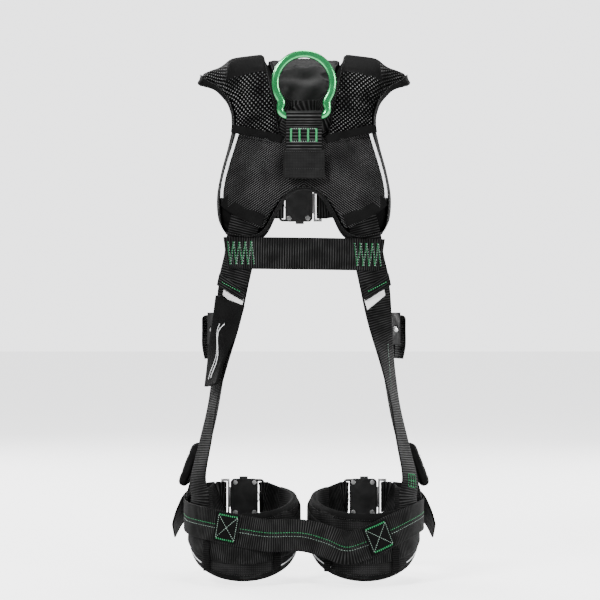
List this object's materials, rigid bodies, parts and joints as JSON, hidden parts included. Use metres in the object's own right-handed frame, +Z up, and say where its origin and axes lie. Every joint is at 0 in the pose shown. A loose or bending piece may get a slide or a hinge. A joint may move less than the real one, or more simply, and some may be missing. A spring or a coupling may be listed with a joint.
{
  "type": "full-body climbing harness",
  "caption": "Full-body climbing harness: padded vest yoke with dorsal ring, back, side and seat straps, torso adjusters, chest and leg buckles, leg pads.",
  "frame": {"origin": "between the shoulder pads at the base of the neck, at the height where the pads' outer ends bear on the shoulders", "axes": "+Z up, +Y the way the wearer faces, +X the wearer's right, -Y the back with the dorsal ring"},
  "size_m": [0.3844, 0.2099, 0.7445],
  "materials": {
    "pad_mesh": "padded polyester, black",
    "cover_mesh": "open spacer mesh, black",
    "leg_pad_fabric": "padded polyester, black",
    "reflective": "reflective tape",
    "webbing": "ribbed polyester webbing, black",
    "pouch_fabric": "woven nylon, black",
    "label": "woven label, white",
    "green_anodised": "green anodised",
    "black_plate": "black coated steel",
    "bare_steel": "satin steel",
    "latch_plastic": "matt black"
  },
  "bodies": {
    "harness": {"back_pad": "pad_mesh", "shoulder_pad_left": "pad_mesh", "shoulder_pad_right": "pad_mesh", "dorsal_panel": "pad_mesh", "back_cover": "cover_mesh", "shoulder_cover_left": "cover_mesh", "shoulder_cover_right": "cover_mesh", "leg_pad_left": "leg_pad_fabric", "leg_pad_right": "leg_pad_fabric", "reflective_strips": "reflective", "shoulder_strap_left": "webbing", "shoulder_strap_right": "webbing", "back_strap": "webbing", "side_strap_left": "webbing", "side_strap_right": "webbing", "front_strap_left": "webbing", "front_strap_right": "webbing", "seat_strap": "webbing", "seat_patches": "webbing", "dorsal_loop": "webbing", "keeper_flap": "webbing", "chest_strap_left": "webbing", "chest_strap_right": "webbing", "leg_strap_left": "webbing", "leg_strap_right": "webbing", "leg_tongue_strap_left": "webbing", "leg_tongue_strap_right": "webbing", "leg_strap_tail_left": "webbing", "leg_strap_tail_right": "webbing", "leg_pad_keepers": "webbing", "label_pouch": "pouch_fabric", "relief_pouch_left": "pouch_fabric", "relief_pouch_right": "pouch_fabric", "inspection_labels": "label", "adjuster_frame_left": "black_plate", "adjuster_frame_right": "black_plate", "chest_buckle_base": "black_plate", "chest_buckle_cover": "black_plate", "chest_buckle_rivets": "bare_steel", "chest_buckle_spring": "bare_steel", "leg_buckle_base_left": "black_plate", "leg_buckle_cover_left": "black_plate", "leg_buckle_rivets_left": "bare_steel", "leg_buckle_spring_left": "bare_steel", "leg_buckle_base_right": "black_plate", "leg_buckle_cover_right": "black_plate", "leg_buckle_rivets_right": "bare_steel", "leg_buckle_spring_right": "bare_steel"},
    "ring": {"dorsal_ring": "green_anodised"},
    "adjuster_bar_left": {"adjuster_bar_left": "bare_steel"},
    "adjuster_bar_right": {"adjuster_bar_right": "bare_steel"},
    "chest_tongue": {"chest_tongue": "bare_steel"},
    "chest_latch_upper": {"chest_latch_upper": "latch_plastic"},
    "chest_latch_lower": {"chest_latch_lower": "latch_plastic"},
    "leg_tongue_left": {"leg_tongue_left": "bare_steel"},
    "leg_latch_upper_left": {"leg_latch_upper_left": "latch_plastic"},
    "leg_latch_lower_left": {"leg_latch_lower_left": "latch_plastic"},
    "leg_tongue_right": {"leg_tongue_right": "bare_steel"},
    "leg_latch_upper_right": {"leg_latch_upper_right": "latch_plastic"},
    "leg_latch_lower_right": {"leg_latch_lower_right": "latch_plastic"}
  },
  "joints": [
    {"name": "dorsal_ring_pivot", "type": "hinge", "parent": "harness", "child": "ring", "pos_m": [0, -0.0935, -0.054], "axis": [1, 0, 0], "range_deg": [-10, 165]},
    {"name": "adjuster_bar_slide_left", "type": "slide", "parent": "harness", "child": "adjuster_bar_left", "axis": [0, 0, 1], "range_m": [0, 0.003], "stiffness_N_per_m": 400, "springref_m": -0.002},
    {"name": "adjuster_bar_slide_right", "type": "slide", "parent": "harness", "child": "adjuster_bar_right", "axis": [0, 0, 1], "range_m": [0, 0.003], "stiffness_N_per_m": 400, "springref_m": -0.002},
    {"name": "chest_tongue_slide", "type": "slide", "parent": "harness", "child": "chest_tongue", "axis": [1, 0, 0], "range_m": [0, 0.026], "deforming": ["chest_strap_right"]},
    {"name": "chest_latch_upper_press", "type": "slide", "parent": "harness", "child": "chest_latch_upper", "axis": [0, 0, -1], "range_m": [0, 0.003], "stiffness_N_per_m": 400, "springref_m": -0.002},
    {"name": "chest_latch_lower_press", "type": "slide", "parent": "harness", "child": "chest_latch_lower", "axis": [0, 0, 1], "range_m": [0, 0.003], "stiffness_N_per_m": 400, "springref_m": -0.002},
    {"name": "leg_tongue_left_slide", "type": "slide", "parent": "harness", "child": "leg_tongue_left", "axis": [-1, 0, 0], "range_m": [0, 0.026], "deforming": ["leg_tongue_strap_left"]},
    {"name": "leg_latch_upper_left_press", "type": "slide", "parent": "harness", "child": "leg_latch_upper_left", "axis": [0, 0, -1], "range_m": [0, 0.003], "stiffness_N_per_m": 400, "springref_m": -0.002},
    {"name": "leg_latch_lower_left_press", "type": "slide", "parent": "harness", "child": "leg_latch_lower_left", "axis": [0, 0, 1], "range_m": [0, 0.003], "stiffness_N_per_m": 400, "springref_m": -0.002},
    {"name": "leg_tongue_right_slide", "type": "slide", "parent": "harness", "child": "leg_tongue_right", "axis": [1, 0, 0], "range_m": [0, 0.026], "deforming": ["leg_tongue_strap_right"]},
    {"name": "leg_latch_upper_right_press", "type": "slide", "parent": "harness", "child": "leg_latch_upper_right", "axis": [0, 0, -1], "range_m": [0, 0.003], "stiffness_N_per_m": 400, "springref_m": -0.002},
    {"name": "leg_latch_lower_right_press", "type": "slide", "parent": "harness", "child": "leg_latch_lower_right", "axis": [0, 0, 1], "range_m": [0, 0.003], "stiffness_N_per_m": 400, "springref_m": -0.002}
  ]
}
